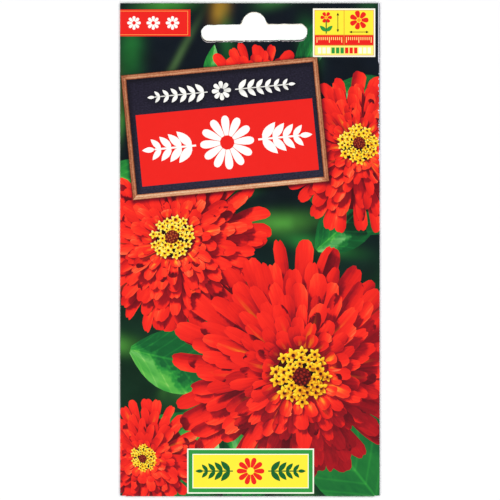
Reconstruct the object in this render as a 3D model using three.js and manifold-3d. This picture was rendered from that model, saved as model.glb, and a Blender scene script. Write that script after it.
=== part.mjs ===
// A paper seed packet with a hang slot, lying on its back with its printed front up.
// One sheet of paper is wrapped into a flat tube: the front, a left side fold, the back, and at the
// right side fold a narrow seam flap that is glued inside the back's free edge. A flap at the lower
// end is folded over the back, and the header above the pocket is glued flat and punched through.
// Millimetres, +X to the packet's right, +Y towards the hang slot, +Z up out of the printed front.
// The origin is the middle of the packet's outline, on the surface that it lies on.
import * as THREE from "three";
import { mergeVertices } from "three/addons/utils/BufferGeometryUtils.js";
import Module from "manifold-3d";

const wasm = await Module();
wasm.setup();

// ---- driving dimensions ----
const WIDTH = 78.2; // over both side folds
const HEIGHT = 148.6; // from the lower fold to the cut upper edge
const PAPER = 0.1; // thickness of the coated paper
const GLUE = 0.05; // thickness of a dry glue line, and of the slit inside a fold
const EDGE_LIFT = 0.5; // the pressed edges ride this high, on the bulge of the back
const FRONT_RISE = 1.15; // how far the seeds push the front up
const SEAM_FLAP = 9; // width of the flap inside the seam
const SEAM_TAPER = 4; // how far its two corners are cut back
const HEADER = 24.25; // height of the glued header
const FLAP_LENGTH = 13; // of the lower flap
const FLAP_TAPER = 5; // how far its two corners are cut back
const SLOT = { x: 1.3, length: 32, height: 4.7, dome: 3.65, below_top: 11.2 };
const SEEDS = { columns: 5, rows: 6, left_out: [4, 25], length: 8, width: 3.5, thickness: 0.9 };

// ---- levels and lines that follow from them ----
const TOP = HEIGHT / 2;
const HEADER_LINE = TOP - HEADER;
const BACK_OUT = EDGE_LIFT; // the back's outer face along the pressed edges
const FRONT_OUT = BACK_OUT + 2 * PAPER + GLUE; // the front's printed face there
const SIDE_FOLD = (FRONT_OUT - BACK_OUT) / 2; // outer radius of a side fold
const SIDE_LINE = WIDTH / 2 - SIDE_FOLD; // where a side fold begins
const SEAM_STEP = PAPER + GLUE; // the back drops by this to pass under the seam flap
const SEAM_DROP = [22, 29]; // x where that drop begins and ends
const SEAM_COLUMNS = [SEAM_DROP[0], 25.5, SEAM_DROP[1]];
const BACK_EDGE = 38.3; // x of the back's free edge
const LOWER_FOLD_MAX = (FRONT_OUT - flapOut(WIDTH / 2)) / 2;
const LOWER_LINE = -TOP + LOWER_FOLD_MAX; // where the lower fold begins
const FLAP_BASE = WIDTH / 2 - 1.7; // half the lower flap's width
const TRIM = 0.12; // the back stops this far inside the lower fold
const SPOT = { left: -16, right: 14, lower: -46, upper: 22 }; // flat, on the resting surface

// ---- grid lines of the sheet, closest where it bends most ----
const FRONT_COLUMNS = [
  SIDE_LINE, 37, 34, 30, 24, 18, 12, 6, 0, -6, -12, -18, -24, -30, -34, -37, -SIDE_LINE,
];
const BACK_COLUMNS = [
  -SIDE_LINE, -36, -31, -26, -21, SPOT.left, -8, 0, 7, SPOT.right, 18, ...SEAM_COLUMNS, BACK_EDGE,
];
const ROWS = [
  -65, -60, -56.5, -53, -49.5, SPOT.lower, -35, -20, 0, 7, 14, SPOT.upper, 28, 34, 41, 48, HEADER_LINE,
];

// 0 before a, 1 after b, and a smooth rise between them.
function ramp(a, b, v) {
  const t = THREE.MathUtils.clamp((v - a) / (b - a), 0, 1);
  return t * t * (3 - 2 * t);
}

// The printed face of the front, which the seeds lift between the header and the lower fold.
function frontOut(x, y) {
  const across = Math.max(0, 1 - (x / (SIDE_LINE - 2)) ** 2) ** 2;
  const along = ramp(-TOP + 2, -35, y) * (1 - ramp(0, HEADER_LINE, y));
  return FRONT_OUT + FRONT_RISE * across * along;
}

// The back's outer face along the pressed edges, lower where it covers the seam flap.
function backEdge(x) {
  return BACK_OUT - SEAM_STEP * ramp(...SEAM_DROP, x);
}

// The back's outer face, which sags to a flat resting spot round the packet's weight.
function backOut(x, y) {
  const across = (1 - ramp(SPOT.right, 28, x)) * ramp(-36, SPOT.left, x);
  const along = ramp(-60, SPOT.lower, y) * (1 - ramp(SPOT.upper, HEADER_LINE - 2, y));
  return backEdge(x) - EDGE_LIFT * across * along;
}

// The printed face of the lower flap, glued over the back.
function flapOut(x) {
  return backEdge(x) - GLUE - PAPER;
}

// ---- solids from grids ----
// A closed sheet from two grids of points, outer and inner, with the same rows and columns.
function sheet(columns, rows, pointAt) {
  const positions = [];
  const index = [];
  const at = (side, i, j) => (side * rows + j) * columns + i;
  for (const depth of [0, PAPER])
    for (let j = 0; j < rows; j++)
      for (let i = 0; i < columns; i++) positions.push(...pointAt(i, j, depth));
  const quad = (a, b, c, d) => index.push(a, c, b, a, d, c);
  for (let j = 0; j < rows - 1; j++)
    for (let i = 0; i < columns - 1; i++) {
      quad(at(0, i, j), at(0, i + 1, j), at(0, i + 1, j + 1), at(0, i, j + 1));
      quad(at(1, i, j), at(1, i, j + 1), at(1, i + 1, j + 1), at(1, i + 1, j));
    }
  for (let i = 0; i < columns - 1; i++) {
    const e = rows - 1;
    quad(at(0, i, 0), at(1, i, 0), at(1, i + 1, 0), at(0, i + 1, 0));
    quad(at(0, i, e), at(0, i + 1, e), at(1, i + 1, e), at(1, i, e));
  }
  for (let j = 0; j < rows - 1; j++) {
    quad(at(0, 0, j), at(0, 0, j + 1), at(1, 0, j + 1), at(1, 0, j));
    const e = columns - 1;
    quad(at(0, e, j), at(1, e, j), at(1, e, j + 1), at(0, e, j + 1));
  }
  return new THREE.BufferGeometry()
    .setAttribute("position", new THREE.Float32BufferAttribute(positions, 3))
    .setIndex(index);
}

function toSolid(geometry) {
  const bare = geometry.clone();
  bare.deleteAttribute("normal");
  bare.deleteAttribute("uv");
  const merged = mergeVertices(bare, 1e-5);
  return new wasm.Manifold(
    new wasm.Mesh({
      numProp: 3,
      vertProperties: merged.attributes.position.array,
      triVerts: new Uint32Array(merged.index.array),
    }),
  );
}

function toGeometry(solid) {
  const { vertProperties, triVerts } = solid.getMesh();
  const geometry = new THREE.BufferGeometry()
    .setAttribute("position", new THREE.BufferAttribute(vertProperties, 3))
    .setIndex(new THREE.BufferAttribute(triVerts, 1));
  geometry.computeVertexNormals();
  return geometry;
}

// A flat outline in XY, extruded from z0 to z1.
function slab(shape, z0, z1) {
  const options = { depth: z1 - z0, bevelEnabled: false, curveSegments: 5 };
  return new THREE.ExtrudeGeometry(shape, options).translate(0, 0, z0);
}

function rectangle(x0, x1, y0, y1) {
  return new THREE.Shape([
    new THREE.Vector2(x0, y0),
    new THREE.Vector2(x1, y0),
    new THREE.Vector2(x1, y1),
    new THREE.Vector2(x0, y1),
  ]);
}

// ---- the paper ----
// Stations across the wrapped sheet, from the seam flap's free edge, round the front, to the
// back's free edge. Each has its lower and upper end, and gives the point at a height y on the
// printed face (depth 0) or on the white face inside (depth PAPER).
function wrapStations() {
  const stations = [];
  const lowerCut = LOWER_LINE + TRIM;
  const face = (x, outAt, inward, lower, upper) =>
    stations.push({ lower, upper, at: (y, depth) => [x, y, outAt(x, y) + inward * depth] });
  const sideFold = (side) => {
    const steps = 6;
    for (let k = 1; k < steps; k++) {
      const angle = (Math.PI * (side > 0 ? steps - k : k)) / steps;
      const at = (y, depth) => [
        side * (SIDE_LINE + (SIDE_FOLD - depth) * Math.sin(angle)),
        y,
        (FRONT_OUT + BACK_OUT) / 2 + (SIDE_FOLD - depth) * Math.cos(angle),
      ];
      stations.push({ lower: lowerCut, upper: TOP, at });
    }
  };
  for (const part of [1, 0.5, 0]) {
    const cut = SEAM_TAPER * part;
    face(SIDE_LINE - SEAM_FLAP * part, () => BACK_OUT, 1, lowerCut + cut, TOP - 0.5 - cut);
  }
  sideFold(1);
  for (const x of FRONT_COLUMNS) face(x, frontOut, -1, LOWER_LINE, TOP);
  sideFold(-1);
  for (const x of BACK_COLUMNS) face(x, backOut, 1, lowerCut, TOP);
  return stations;
}

function wrappedSheet() {
  const stations = wrapStations();
  const last = ROWS.length + 1;
  return sheet(stations.length, last + 1, (i, j, depth) => {
    const { lower, upper, at } = stations[i];
    if (j === 0) return at(lower, depth);
    if (j === last) return at(upper, depth);
    return at(ROWS[j - 1], depth);
  });
}

// The lower fold and the flap that it carries, with a short tongue that lies in the front.
function lowerFlap() {
  const tongue = 0.6;
  const bends = 6;
  const columns = [-FLAP_BASE, -31, SPOT.left, 0, SPOT.right, ...SEAM_COLUMNS, 33, FLAP_BASE];
  const rows = bends + 3;
  const pointAt = (i, j, depth) => {
    const x = columns[i];
    const middle = (FRONT_OUT + flapOut(x)) / 2;
    const radius = (FRONT_OUT - flapOut(x)) / 2 - depth;
    if (j === 0) return [x, LOWER_LINE + tongue, FRONT_OUT - depth];
    if (j === rows - 1) return [x, LOWER_LINE + FLAP_LENGTH, flapOut(x) + depth];
    const angle = (Math.PI * (j - 1)) / bends;
    return [x, LOWER_LINE - radius * Math.sin(angle), middle + radius * Math.cos(angle)];
  };
  let flap = toSolid(sheet(columns.length, rows, pointAt));
  for (const side of [-1, 1]) {
    const corner = new THREE.Shape([
      new THREE.Vector2(side * (FLAP_BASE + 1), LOWER_LINE + 1),
      new THREE.Vector2(side * FLAP_BASE, LOWER_LINE + 1),
      new THREE.Vector2(side * (FLAP_BASE - FLAP_TAPER), LOWER_LINE + FLAP_LENGTH + 1),
      new THREE.Vector2(side * (FLAP_BASE + 1), LOWER_LINE + FLAP_LENGTH + 1),
    ]);
    flap = flap.subtract(toSolid(slab(corner, -1, flapOut(0) + PAPER + GLUE / 2)));
  }
  return flap;
}

// The hang slot's outline: a bar with round ends and a half-round dome, whose crown has a short
// flat where the hook bears.
function slotOutline() {
  const { x, length, height, dome, below_top } = SLOT;
  const flat = THREE.MathUtils.degToRad(10);
  const end = height / 2;
  const y = TOP - below_top + end;
  const run = length / 2 - end;
  const outline = new THREE.Shape();
  outline.moveTo(x - run, y - end);
  outline.lineTo(x + run, y - end);
  outline.absarc(x + run, y, end, -Math.PI / 2, Math.PI / 2, false);
  outline.absarc(x, y + end, dome, 0, Math.PI / 2 - flat, false);
  outline.absarc(x, y + end, dome, Math.PI / 2 + flat, Math.PI, false);
  outline.lineTo(x - run, y + end);
  outline.absarc(x - run, y, end, Math.PI / 2, (3 * Math.PI) / 2, false);
  return outline;
}

// The punch that cuts the slot through the glued header.
const punch = toSolid(slab(slotOutline(), -1, FRONT_OUT + 1));

function paperSolid() {
  return toSolid(wrappedSheet()).add(lowerFlap()).subtract(punch);
}

// ---- glue lines, each filling the slit between the two layers that it holds ----
function glueSolids() {
  const outsideBack = (outline) => slab(outline, BACK_OUT - GLUE, BACK_OUT);
  const insideBack = (outline) => slab(outline, BACK_OUT + PAPER, BACK_OUT + PAPER + GLUE);
  const inset = 1; // from the edges of the layers
  const seam = [SIDE_LINE - SEAM_FLAP + inset, SIDE_LINE - inset];
  const main = [-SIDE_LINE + inset, SEAM_DROP[0] - inset];
  const flap = [-FLAP_BASE + FLAP_TAPER + inset, SEAM_DROP[0] - inset];
  const sideTop = TOP - SEAM_TAPER - inset;
  const header = insideBack(rectangle(...main, HEADER_LINE + inset, TOP - inset));
  return {
    seam_glue: outsideBack(rectangle(...seam, -sideTop, sideTop)),
    header_glue: toGeometry(toSolid(header).subtract(punch)),
    header_side_glue: insideBack(rectangle(...seam, HEADER_LINE + inset, sideTop)),
    lower_flap_glue: outsideBack(
      rectangle(...flap, LOWER_LINE + 2 * inset, LOWER_LINE + FLAP_LENGTH - inset),
    ),
  };
}

// ---- seeds: flat, wedge-shaped fruits with a narrow foot and a broad shoulder ----
function seedGeometry(length, width, thickness) {
  const profile = [
    [0, 0],
    [0.32, 0.03],
    [0.62, 0.3],
    [0.95, 0.6],
    [1, 0.76],
    [0.72, 0.95],
    [0, 1],
  ].map(([radius, along]) => new THREE.Vector2((radius * width) / 2, (along - 0.5) * length));
  const sides = 8;
  const flatness = thickness / width / Math.cos(Math.PI / sides);
  return new THREE.LatheGeometry(profile, sides, Math.PI / sides)
    .scale(1 / Math.cos(Math.PI / sides), 1, flatness);
}

// Repeatable draws in 0 to 1.
function randomDraws(seed) {
  let state = seed;
  return () => {
    state = (state * 1664525 + 1013904223) % 4294967296;
    return state / 4294967296;
  };
}

function seedMeshes(material) {
  const draw = randomDraws(7);
  const spacing = { x: 5.7, y: 9.8 };
  const first = { x: -11.4, y: -41 };
  const meshes = [];
  for (let cell = 0; cell < SEEDS.columns * SEEDS.rows; cell++) {
    const size = 0.94 + 0.1 * draw();
    const turn = THREE.MathUtils.degToRad(24 * (draw() - 0.5)) + (draw() < 0.5 ? Math.PI : 0);
    const shift = 0.6 * (draw() - 0.5);
    if (SEEDS.left_out.includes(cell)) continue;
    const thickness = SEEDS.thickness * size;
    const geometry = seedGeometry(SEEDS.length * size, SEEDS.width * size, thickness);
    const seed = new THREE.Mesh(geometry, material);
    seed.name = `seed_${String(meshes.length + 1).padStart(2, "0")}`;
    seed.position.set(
      first.x + spacing.x * (cell % SEEDS.columns),
      first.y + spacing.y * Math.floor(cell / SEEDS.columns) + shift,
      PAPER + GLUE + thickness / 2,
    );
    seed.rotation.z = turn;
    meshes.push(seed);
  }
  return meshes;
}

// ---- the assembled packet ----
const printed = new THREE.MeshStandardMaterial({ color: 0xc8281e, roughness: 0.45, metalness: 0 });
const glue = new THREE.MeshStandardMaterial({ color: 0xe6dfcc, roughness: 0.5, metalness: 0 });
const husk = new THREE.MeshStandardMaterial({ color: 0x6b5640, roughness: 0.85, metalness: 0 });

const packet = new THREE.Group();
const paper = new THREE.Mesh(toGeometry(paperSolid()), printed);
paper.name = "paper";
packet.add(paper);
for (const [name, geometry] of Object.entries(glueSolids())) {
  const line = new THREE.Mesh(geometry, glue);
  line.name = name;
  packet.add(line);
}
packet.add(...seedMeshes(husk));

export default packet;
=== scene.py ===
"""A printed paper seed packet: the picture and its fine mesh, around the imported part.

The print is drawn flat, as polygons on the sheet before it is folded, in painter's order. One
triangulation cuts the sheet along every outline, so each triangle lies in one shape and takes that
shape's ink. Then the sheet is folded into the packet.

Sheet coordinates are millimetres on the printed side. The front lies where it will be on the
packet, so u = x and v = y there. The back lies to the left of it, the seam flap to the right, and
the lower flap below.
"""

from math import ceil, cos, exp, pi, radians, sin, sqrt

import bpy
import numpy as np
from mathutils import Matrix, Vector
from mathutils.bvhtree import BVHTree
from mathutils.geometry import delaunay_2d_cdt


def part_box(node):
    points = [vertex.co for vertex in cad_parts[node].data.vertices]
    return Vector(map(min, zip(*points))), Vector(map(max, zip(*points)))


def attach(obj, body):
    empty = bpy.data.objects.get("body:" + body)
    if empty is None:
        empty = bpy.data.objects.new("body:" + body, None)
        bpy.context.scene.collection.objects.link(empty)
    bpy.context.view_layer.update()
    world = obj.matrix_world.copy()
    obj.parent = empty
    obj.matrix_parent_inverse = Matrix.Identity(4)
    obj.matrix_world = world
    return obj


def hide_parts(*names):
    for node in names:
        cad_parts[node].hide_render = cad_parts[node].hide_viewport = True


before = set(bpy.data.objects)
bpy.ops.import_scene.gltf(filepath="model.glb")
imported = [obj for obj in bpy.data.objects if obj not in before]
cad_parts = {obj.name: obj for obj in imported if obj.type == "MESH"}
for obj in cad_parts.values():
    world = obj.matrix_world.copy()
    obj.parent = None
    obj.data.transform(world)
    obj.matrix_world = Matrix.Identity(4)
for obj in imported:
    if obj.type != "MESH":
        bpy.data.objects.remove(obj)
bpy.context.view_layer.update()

# ---- sizes in millimetres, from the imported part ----
MM = 0.001
PAPER = 0.1  # thickness of the coated paper
paper_low, paper_high = [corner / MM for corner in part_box("paper")]
glue_low, glue_high = [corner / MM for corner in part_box("header_glue")]
WIDTH = paper_high.x - paper_low.x
TOP = paper_high.y
GLUE = glue_high.z - glue_low.z
BACK_OUT = glue_low.z - PAPER  # outer face of the back at the pressed edges
FRONT_OUT = glue_high.z + PAPER  # printed face of the front there
FRONT_RISE = paper_high.z - FRONT_OUT
HEADER_LINE = glue_low.y - 1  # the glued header begins here
SIDE_FOLD = (FRONT_OUT - BACK_OUT) / 2  # outer radius
SIDE_LINE = WIDTH / 2 - SIDE_FOLD
SEAM_DROP = (glue_high.x + 1, glue_high.x + 8)  # where the back steps down to pass the seam flap
SEAM_FLAP = 9  # its width
SEAM_TAPER = 4
BACK_EDGE = 38.3  # x of the back's free edge
FLAP_LENGTH = 13  # of the lower flap
FLAP_TAPER = 5
FLAP_BASE = WIDTH / 2 - 1.7  # half its width
TRIM = 0.12  # the back stops this far inside the lower fold
SPOT = (-16, 14, -46, 22)  # the flat resting spot: left, right, lower, upper
SLOT_X = 1.3  # the slot's middle
SLOT_LENGTH = 32
SLOT_HEIGHT = 4.8
SLOT_DOME = 3.7  # its radius
SLOT_BELOW_TOP = 11.2  # from the upper edge to the slot's lower edge


def ramp(a, b, v):
    """0 before a, 1 after b, and a smooth rise between them."""
    t = np.clip((v - a) / (b - a), 0, 1)
    return t * t * (3 - 2 * t)


def back_edge(x):
    return BACK_OUT - (PAPER + GLUE) * ramp(*SEAM_DROP, x)


def flap_out(x):
    return back_edge(x) - GLUE - PAPER


LOWER_LINE = -TOP + (FRONT_OUT - flap_out(WIDTH / 2)) / 2  # the lower fold begins here
SIDE_BEND = pi * (SIDE_FOLD - PAPER / 2)  # length of paper in a side fold
LOWER_BEND = pi * 0.2  # and in the lower fold
BACK_MIDDLE = -2 * SIDE_LINE - SIDE_BEND  # u where the back's x is 0
BENDS = 6  # flat steps in a fold

# ---- colours, in sRGB ----
WHITE = "fbfaf4"
BARE = "e6e4f0"
INK_RED = "e8221c"
INK_YELLOW = "fbe83a"
INK_GREEN = "2f9440"
INK_DARK_GREEN = "17602b"
CHARCOAL = "2b2a36"


def linear(code):
    """An sRGB colour, written as six hex digits, in linear light."""
    values = np.array([int(code[i : i + 2], 16) / 255 for i in (0, 2, 4)])
    high = ((values + 0.055) / 1.055) ** 2.4
    return tuple(np.where(values < 0.04045, values / 12.92, high))


# ---- drawing ----
rng = np.random.default_rng(11)


def jitter(amount):
    return rng.uniform(-amount, amount)


def polar(radius, angle):
    return radius * cos(angle), radius * sin(angle)


def turned(angle):
    c, s = cos(angle), sin(angle)
    return np.array([[c, -s], [s, c]])


def unit(vectors):
    return vectors / (np.linalg.norm(vectors, axis=1)[:, None] + 1e-12)


def cross(a, b):
    return a[..., 0] * b[..., 1] - a[..., 1] * b[..., 0]


class Place:
    """Where a drawing's own axes lie on the sheet."""

    def __init__(self, x=0.0, y=0.0, turn=0.0, grow=(1.0, 1.0)):
        self.axes = turned(turn) @ np.diag(grow)
        self.origin = np.array([x, y], float)

    def at(self, *place, **rest):
        """A place inside this one."""
        inner = Place(*place, **rest)
        inner.origin = self.axes @ inner.origin + self.origin
        inner.axes = self.axes @ inner.axes
        return inner

    def points(self, outline):
        return np.asarray(outline, float) @ self.axes.T + self.origin


FRONT = Place()
BACK = Place(BACK_MIDDLE, 0)


# Everything printed, in painter's order. Each shape has an outline on the sheet, the kind of
# material that fills it, its ink, and its own coordinates (s, t), which the materials draw grain
# and veins in. A label is flat. A petal or leaf is a surface in space, seen from above and sunlit.
drawn = []


def keep(outline, kind, tone, flame=0.0, **rest):
    shape = {
        "outline": outline,
        "kind": kind,
        "ink": linear(WHITE),
        "origin": np.zeros(2),
        "inverse": np.eye(2),
        "form": (rng.uniform(0, 1), tone, flame),
        "shadow": 0.0,
        "surface": None,
    }
    drawn.append(shape | rest)


def paint(place, outline, ink=WHITE, kind="flat_ink", size=(1.0, 1.0), tone=0.0, shadow=0.0):
    """A flat shape. Its shadow falls on what lies under it."""
    own = {"ink": linear(ink), "origin": place.origin, "shadow": shadow}
    own["inverse"] = np.diag(1 / np.array(size)) @ np.linalg.inv(place.axes)
    keep(place.points(outline), kind, tone, **own)


def paint_surface(grid, outline, kind, tone=0.0, flame=0.0):
    """A surface in space: a grid of points, each with its x, y, z, s and t."""
    keep(outline, kind, tone, flame, surface=Surface(grid))


class Surface:
    """A grid of points in space as triangles."""

    def __init__(self, grid):
        rows, columns = grid.shape[:2]
        self.points = grid.reshape(-1, 5)
        index = np.arange(rows * columns).reshape(rows, columns)
        a, b = index[:-1, :-1].ravel(), index[1:, :-1].ravel()
        c, d = index[1:, 1:].ravel(), index[:-1, 1:].ravel()
        self.triangles = np.concatenate([np.stack([a, b, c], 1), np.stack([a, c, d], 1)])
        corner = self.points[self.triangles, :3]
        self.facing = np.cross(corner[:, 1] - corner[:, 0], corner[:, 2] - corner[:, 0])
        self.normals = np.zeros((len(self.points), 3))
        for k in range(3):
            np.add.at(self.normals, self.triangles[:, k], self.facing)

    def shown(self):
        """Whether all of it is seen from above, from the same side."""
        return (self.facing[:, 2] > -1e-6).all() or (self.facing[:, 2] < 1e-6).all()

    def at(self, places):
        """The x, y, z, s and t, and the unit normal, at places on the sheet."""
        corner = self.points[self.triangles, :2]
        ab, ac = corner[:, 1] - corner[:, 0], corner[:, 2] - corner[:, 0]
        area = cross(ab, ac)
        area = np.where(np.abs(area) < 1e-9, 1e-9, area)
        ap = places[:, None] - corner[:, 0]
        share_b = cross(ap, ac) / area
        share_c = cross(ab, ap) / area
        shares = np.stack([1 - share_b - share_c, share_b, share_c], 2)
        best = shares.min(2).argmax(1)
        share = np.clip(shares[np.arange(len(places)), best], 0, 1)
        share /= share.sum(1)[:, None]
        held = self.triangles[best]
        normals = (self.normals[held] * share[..., None]).sum(1)
        normals *= np.where(normals[:, 2] < 0, -1, 1)[:, None]
        return (self.points[held] * share[..., None]).sum(1), unit(normals)


def rectangle(x0, x1, y0, y1):
    return [(x0, y0), (x1, y0), (x1, y1), (x0, y1)]


def box(place, x0, x1, y0, y1, ink):
    paint(place, rectangle(x0, x1, y0, y1), ink)


def arc(x, y, radius, start, end, steps):
    """Points on an arc, its angles in degrees."""
    angles = np.radians(np.linspace(start, end, steps + 1))
    return [(x + radius * cos(a), y + radius * sin(a)) for a in angles]


def disc(radius, steps):
    return arc(0, 0, radius, 0, 360 - 360 / steps, steps - 1)


def star(lobes, depth, steps):
    """A lobed disc of unit size."""
    angles = np.linspace(0, 2 * pi, steps, endpoint=False)
    reach = 1 - depth / 2 + depth / 2 * np.cos(lobes * angles)
    return np.stack([reach * np.cos(angles), reach * np.sin(angles)], 1)


def petal(length, width, notch=0.06):
    """A strap that widens from its foot to a round tip with a shallow notch."""
    crown = 0.7
    body = [(s, 0.42 + 0.58 * sin(pi / 2 * s / crown)) for s in (0, 0.25, 0.5, crown)]
    tip = []
    for angle in np.radians([68, 46, 24, 8, -8, -24, -46, -68]):
        reach = 1 - notch * exp(-((angle / 0.2) ** 2))
        tip.append((crown + (1 - crown) * cos(angle) * reach, sin(angle)))
    sides = body + tip + [(s, -half) for s, half in reversed(body)]
    return [(length * s, width / 2 * t) for s, t in sides]


def leaf(length, width):
    """A broad blade with a pointed tip."""
    s = np.linspace(0, 1, 7)
    half = width / 2 * np.sin(pi * s**0.85) ** 0.85
    upper = np.stack([length * s, half], 1)
    lower = np.stack([length * s, -half], 1)
    return np.concatenate([upper, lower[-2:0:-1]])


def stroke(x0, y0, x1, y1, width):
    """A straight line of ink."""
    a, b = np.array([x0, y0]), np.array([x1, y1])
    along = b - a
    side = np.array([-along[1], along[0]]) / np.linalg.norm(along) * width / 2
    return [a - side, b - side, b + side, a + side]


def slot_outline():
    """The hang slot, punched a little askew, with the rough edge that a punch leaves in paper."""
    end = SLOT_HEIGHT / 2
    run = SLOT_LENGTH / 2 - end
    crown = 10  # half the flat at the dome's crown, in degrees
    corner = 0.9  # radius where the dome meets the bar
    right = arc(run, 0, end, -90, 90, 14)
    right += [(x, end) for x in np.linspace(run, SLOT_DOME + corner, 14)[1:-1]]
    right += arc(SLOT_DOME + corner, end + corner, corner, 270, 195, 4)
    right += arc(0, end, SLOT_DOME, 14, 90 - crown, 11)
    edge = [(x, -end) for x in np.linspace(-run, run, 50)[:-1]] + right
    edge += [(-x, y) for x, y in right[:0:-1]]
    rough = rng.normal(0, 0.035, (len(edge), 2))
    rough[1:] += 0.6 * rough[:-1]
    punched = Place(SLOT_X, TOP - SLOT_BELOW_TOP + end, radians(0.8))
    return punched.points(np.array(edge) + np.clip(rough, -0.12, 0.12))


def blank_outline():
    """The whole sheet, before the slot is punched."""
    low = LOWER_LINE + TRIM
    seam = SIDE_LINE + SIDE_BEND
    back = BACK_MIDDLE - BACK_EDGE
    flap = LOWER_LINE - LOWER_BEND
    tip = FLAP_BASE - FLAP_TAPER * (FLAP_LENGTH - 1) / FLAP_LENGTH
    right = [(tip, flap - FLAP_LENGTH), (FLAP_BASE, flap - 1), (FLAP_BASE, LOWER_LINE)]
    right += [(SIDE_LINE, LOWER_LINE), (SIDE_LINE, low)]
    left = [(-x, y) for x, y in reversed(right)]
    rise = TOP - 0.5  # where the seam flap's upper corner begins
    seam_flap = [(seam, low), (seam + SEAM_FLAP, low + SEAM_TAPER)]
    seam_flap += [(seam + SEAM_FLAP, rise - SEAM_TAPER), (seam, rise)]
    return [(back, low)] + left + right + seam_flap + [(seam, TOP), (back, TOP)]


# ---- the picture: blossoms and leaves in space, seen from above ----
SUN = Vector((-0.44, 0.6, 0.67)).normalized()  # towards the sun
UP = Vector((0, 0, 1))
GOLDEN_ANGLE = 2.39996


def blade_grid(rows, columns):
    """Two grids: the share along a blade, and from -1 to 1 across it."""
    return np.meshgrid(np.linspace(0, 1, rows), np.linspace(-1, 1, columns), indexing="ij")


class Head:
    """A blossom's own axes in space, tilted towards an angle on the sheet."""

    def __init__(self, x, y, radius, lean, tilt):
        axis = Vector((-sin(lean), cos(lean), 0))
        self.turn = np.array(Matrix.Rotation(tilt, 3, axis))
        self.origin = np.array([x, y, 0.25 * radius])
        self.radius = radius

    def grid(self, local, inside):
        """From points in the head's axes and their s and t."""
        return np.concatenate([self.radius * local @ self.turn.T + self.origin, inside], 2)

    def petal(self, shape, tone, flame):
        """Left out where it turns its back on the viewer."""
        grid = self.grid(*strap(**shape))
        if Surface(grid).shown():
            paint_surface(grid, edge_of(grid), "petal", tone, flame)

    def plate(self, kind, outline, x, y, z, size, turn=0.0, tone=0.0):
        """A small flat piece, facing along the head's axis."""
        rim = size * np.array(outline) @ turned(turn).T + (x, y)
        rim = np.concatenate([rim, rim[:1]])
        middle = np.tile([x, y, z + 0.15 * size], (len(rim), 1))
        local = np.stack([middle, np.column_stack([rim, np.full(len(rim), z)])])
        own = np.stack([np.zeros((len(rim), 2)), np.concatenate([outline, outline[:1]])])
        grid = self.grid(local, own)
        paint_surface(grid, grid[1, :-1, :2], kind, tone)


def strap(angle, foot, reach, rise, pitch, droop, width, sway, roll, cup, notch):
    """A petal's grid in its head's axes. It leaves the foot at a pitch, arches over and droops."""
    run, across = blade_grid(10, 7)
    rounding = 0.25 * (1 - np.sqrt(1 - 0.94 * across**2))
    tip = 1 - rounding - notch * np.exp(-((across / 0.22) ** 2))
    along = run * tip
    fine = np.linspace(0, 1, 41)
    slope = pitch - droop * fine**1.3
    out, lift = [np.append(0, np.cumsum(part(slope[1:]))) / 40 for part in (np.cos, np.sin)]
    scale = (reach - foot) / out[-1]
    radial = foot + scale * np.interp(along, fine, out)
    height = rise + scale * np.interp(along, fine, lift)
    here = np.interp(along, fine, slope)
    half = width / 2 * (0.5 + 0.5 * np.sin(pi / 2 * np.clip(along / 0.7, 0, 1)))
    turn = roll * along
    aside = sway * along**2 + half * across * np.cos(turn)
    above = half * across * np.sin(turn) + cup * half * across**2
    radial = radial - above * np.sin(here)
    height = height + above * np.cos(here)
    c, s = cos(angle), sin(angle)
    x, y = radial * c - aside * s, radial * s + aside * c
    return np.stack([x, y, height], 2), np.stack([along, across], 2)


def edge_of(grid):
    """The loop round a grid."""
    return np.concatenate([grid[:, 0], grid[-1, 1:-1], grid[::-1, -1]])[:, :2]


def bloom(x, y, radius, lean, tilt, rings, count):
    """A double blossom: rings of petals from the outermost inwards, then florets and a disc."""
    head = Head(x, y, radius, radians(lean), tilt)
    head.plate("petal", disc(1, 28), 0, 0, -0.02, 0.7, tone=-0.08)
    layer = 0.0
    for ring in range(rings):
        f = ring / (rings - 1)
        reach = 1.0 - 0.66 * f**0.9
        number = round(count * reach**0.6)
        spacing = 2 * pi * 0.72 * reach / number
        for k in rng.permutation(number):
            layer += 0.0016
            angle = 2 * pi * (k + 0.5 * (ring % 2)) / number + jitter(0.08)
            tip = reach * (1 + jitter(0.06))
            shape = {
                "angle": angle,
                "foot": max(tip - 0.44, 0.1 + 0.02 * ring),
                "reach": tip,
                "rise": 0.02 + layer + 0.1 * f,
                "pitch": radians(12 + 34 * f + jitter(7)),
                "droop": radians(34 + 16 * f + jitter(12)),
                "width": spacing * 1.02 * (1 + jitter(0.2)),
                "sway": jitter(0.05) * tip,
                "roll": jitter(0.55),
                "cup": jitter(0.45) + 0.1,
                "notch": 0.035 + jitter(0.03),
            }
            flame = max(0.0, jitter(1.0) - 0.45) + 0.35 * f**3
            head.petal(shape, jitter(0.05), flame)
    top = layer + 0.12
    head.plate("disc", disc(1, 18), 0, 0, top - 0.05, 0.2, tone=-0.3)
    for number, reach, size in ((13, 0.2, 0.058), (11, 0.15, 0.052), (8, 0.105, 0.048)):
        top += 0.02
        for k in range(number):
            angle = 2 * pi * (k + jitter(0.25)) / number
            far = reach * (1 + jitter(0.08))
            at = polar(far, angle)
            grown = size * (1 + jitter(0.18))
            head.plate("floret", star(5, 0.5, 20), *at, top + jitter(0.008), grown, jitter(0.6))
            head.plate("disc", disc(1, 8), *at, top + 0.02, 0.24 * grown)
    head.plate("disc", disc(1, 16), 0, 0, top + 0.015, 0.075)
    for k in range(18):
        at = polar(0.0165 * sqrt(k), k * GOLDEN_ANGLE)
        head.plate("disc", disc(1, 7), *at, top + 0.03, 0.01, tone=0.45)


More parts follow.
